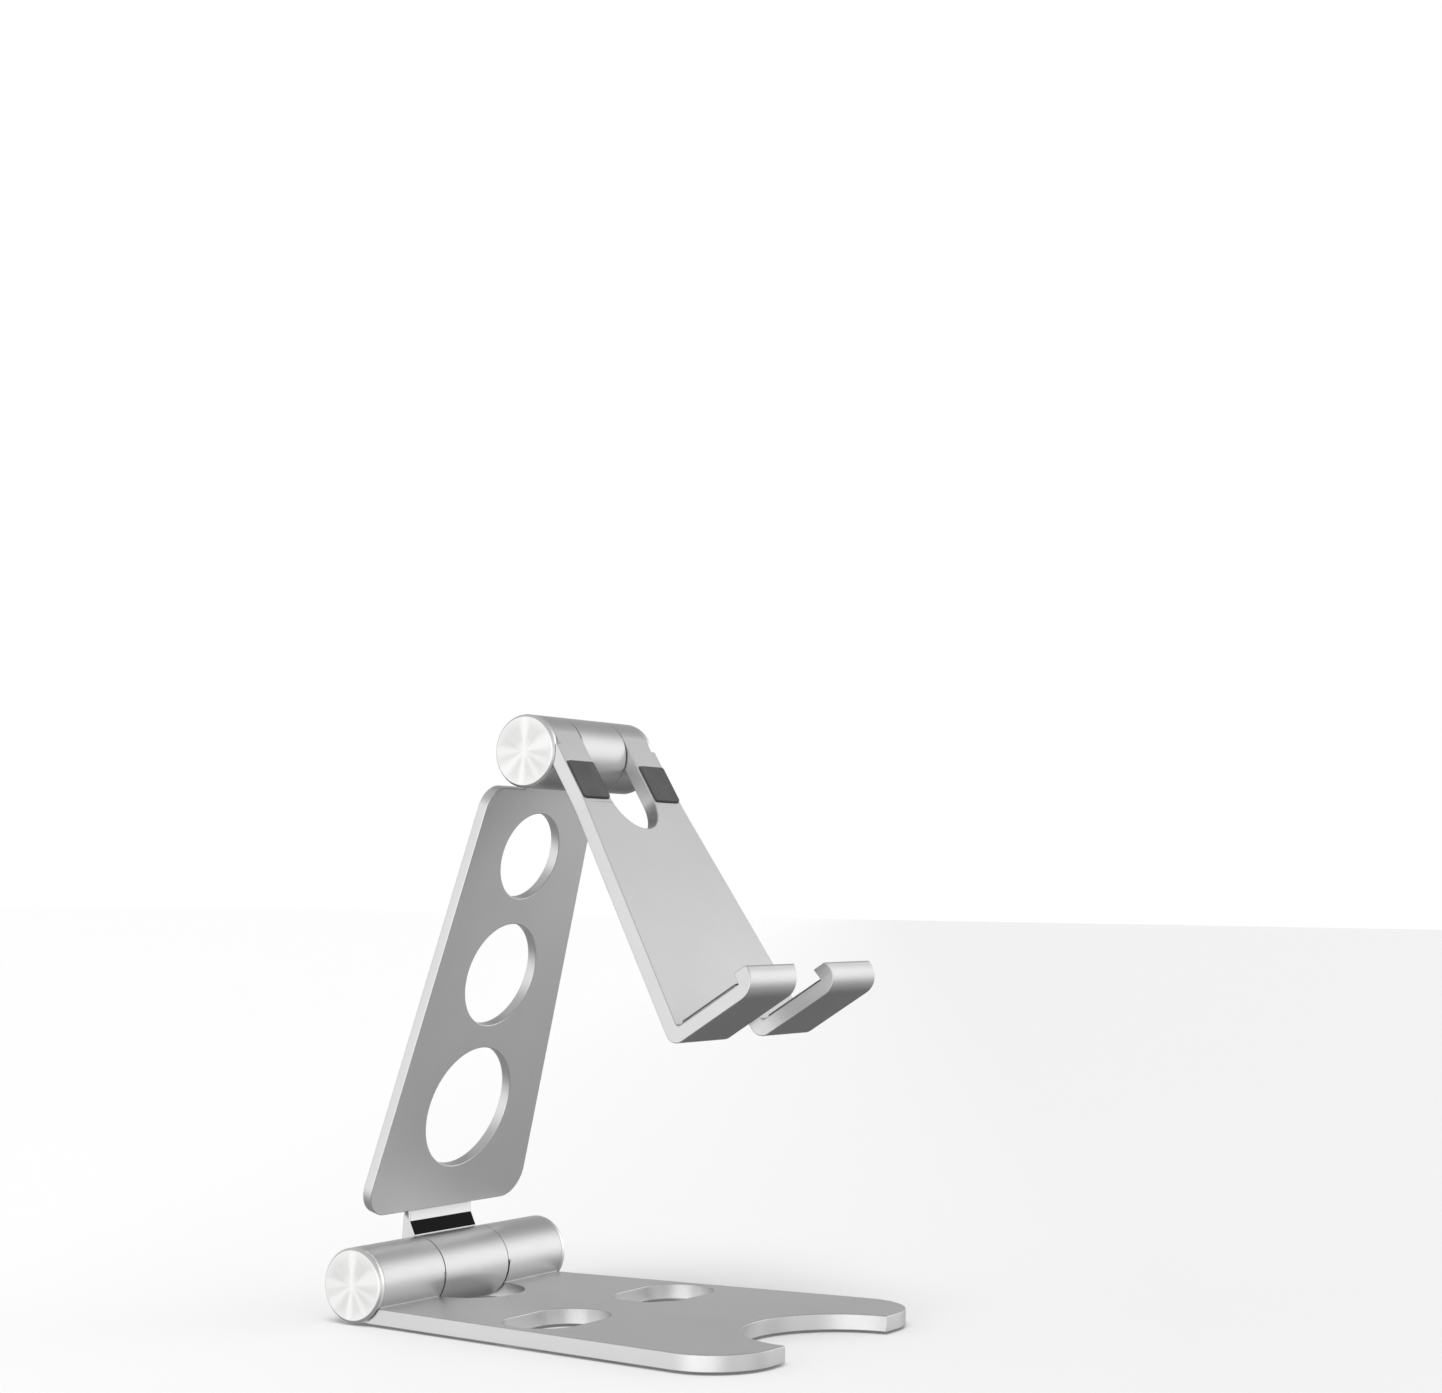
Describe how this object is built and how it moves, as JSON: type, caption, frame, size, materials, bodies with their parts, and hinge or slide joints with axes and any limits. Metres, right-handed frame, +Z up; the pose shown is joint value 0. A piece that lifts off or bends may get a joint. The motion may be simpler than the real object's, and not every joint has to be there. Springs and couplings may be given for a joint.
{
  "type": "tablet stand",
  "caption": "Folding metal tablet stand: a flat notched base, a tapered arm with round holes, and a holder plate with two hooked prongs, joined by two friction hinges with round end caps.",
  "frame": {"origin": "Middle of the stand's bounding box at its lowest level, in the pose of the picture: on the desk, under the middle of the base.", "axes": "+Z is up. -Y is the front, where the tablet's screen faces. Both hinge axes lie along X, and -X is the side whose end caps the picture shows."},
  "size_m": [0.0742, 0.1046, 0.1254],
  "materials": {
    "blasted_aluminium": "bead blasted and anodised",
    "spun_aluminium": "face turned with a fine circular grain, polished rim",
    "pad_silicone": "matte",
    "washer_polymer": "matte",
    "spring_steel": "plain",
    "hardware_steel": "zinc plated"
  },
  "bodies": {
    "base": {"base_plate": "blasted_aluminium", "lower_end_cap_left": "spun_aluminium", "lower_end_cap_right": "spun_aluminium", "lower_hinge_shaft": "hardware_steel", "lower_friction_washer_left": "washer_polymer", "lower_friction_washer_right": "washer_polymer", "lower_disc_spring_1": "spring_steel", "lower_disc_spring_2": "spring_steel", "lower_disc_spring_3": "spring_steel", "lower_disc_spring_4": "spring_steel", "lower_thrust_washer": "hardware_steel", "lower_lock_nut": "hardware_steel", "foot_pad_rear_left": "pad_silicone", "foot_pad_rear_right": "pad_silicone", "foot_pad_front_left": "pad_silicone", "foot_pad_front_right": "pad_silicone"},
    "arm": {"arm_plate": "blasted_aluminium"},
    "holder": {"holder_plate": "blasted_aluminium", "upper_end_cap_left": "spun_aluminium", "upper_end_cap_right": "spun_aluminium", "upper_hinge_shaft": "hardware_steel", "upper_friction_washer_left": "washer_polymer", "upper_friction_washer_right": "washer_polymer", "upper_disc_spring_1": "spring_steel", "upper_disc_spring_2": "spring_steel", "upper_thrust_washer": "hardware_steel", "upper_lock_nut": "hardware_steel", "rest_pad_left": "pad_silicone", "rest_pad_right": "pad_silicone", "lip_pad_left": "pad_silicone", "lip_pad_right": "pad_silicone"}
  },
  "joints": [
    {"name": "base_hinge", "type": "hinge", "parent": "base", "child": "arm", "pos_m": [0, 0.0447, 0.0081], "axis": [1, 0, 0], "range_deg": [-105.8, 35]},
    {"name": "holder_hinge", "type": "hinge", "parent": "arm", "child": "holder", "pos_m": [0, 0.01366, 0.11779], "axis": [1, 0, 0], "range_deg": [-132.3, 55]}
  ]
}
